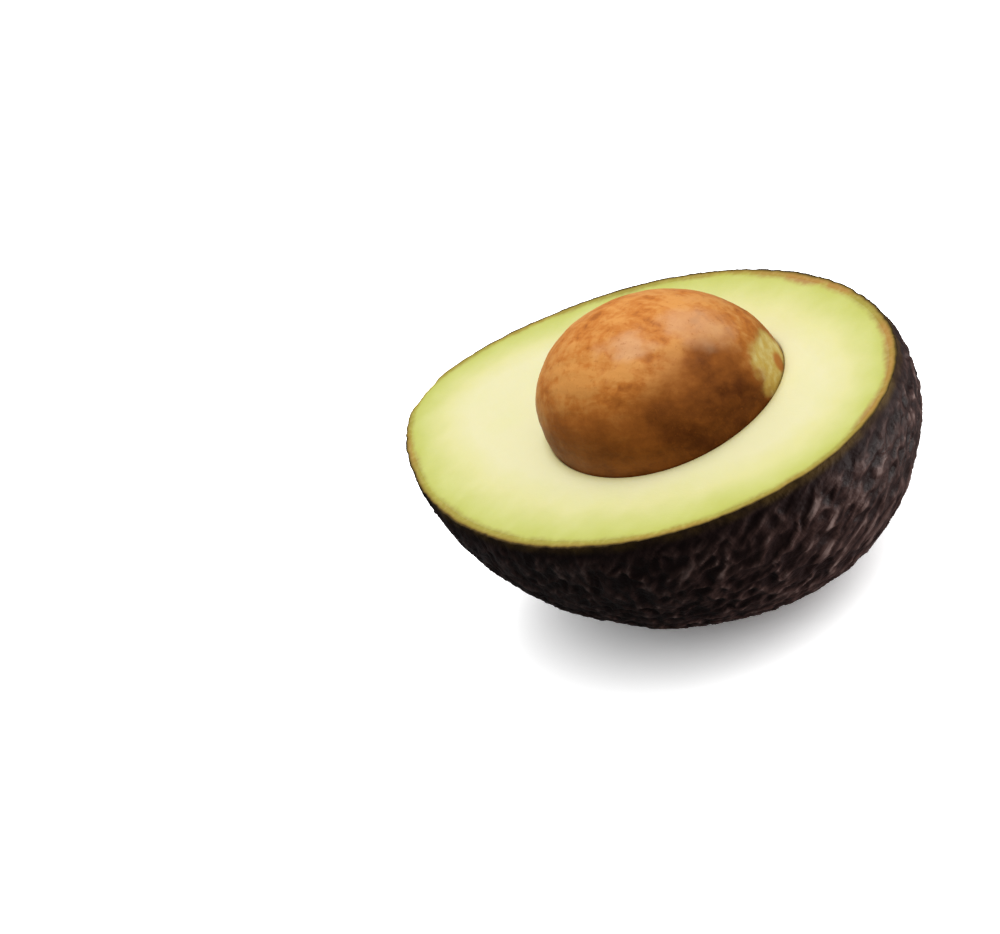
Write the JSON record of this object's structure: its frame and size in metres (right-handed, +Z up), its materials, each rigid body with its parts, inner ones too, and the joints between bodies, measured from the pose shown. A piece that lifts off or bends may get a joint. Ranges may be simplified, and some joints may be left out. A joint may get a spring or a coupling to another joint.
{
  "type": "avocado half with stone",
  "caption": "Avocado cut lengthwise with its stone in place: pebbled dark skin, smooth pale green flesh and a half-sunk brown stone, resting level with its cut face up.",
  "frame": {"origin": "on the surface the half rests on, under the middle of its length and width", "axes": "+X along the length of the fruit to its broad end, +Z up out of the cut face, +Y across the fruit"},
  "size_m": [0.1037, 0.0658, 0.0543],
  "materials": {
    "skin": "satin",
    "flesh": "satin",
    "stone": "satin"
  },
  "bodies": {
    "root": {"skin": "skin", "flesh": "flesh", "stone": "stone"}
  },
  "joints": []
}
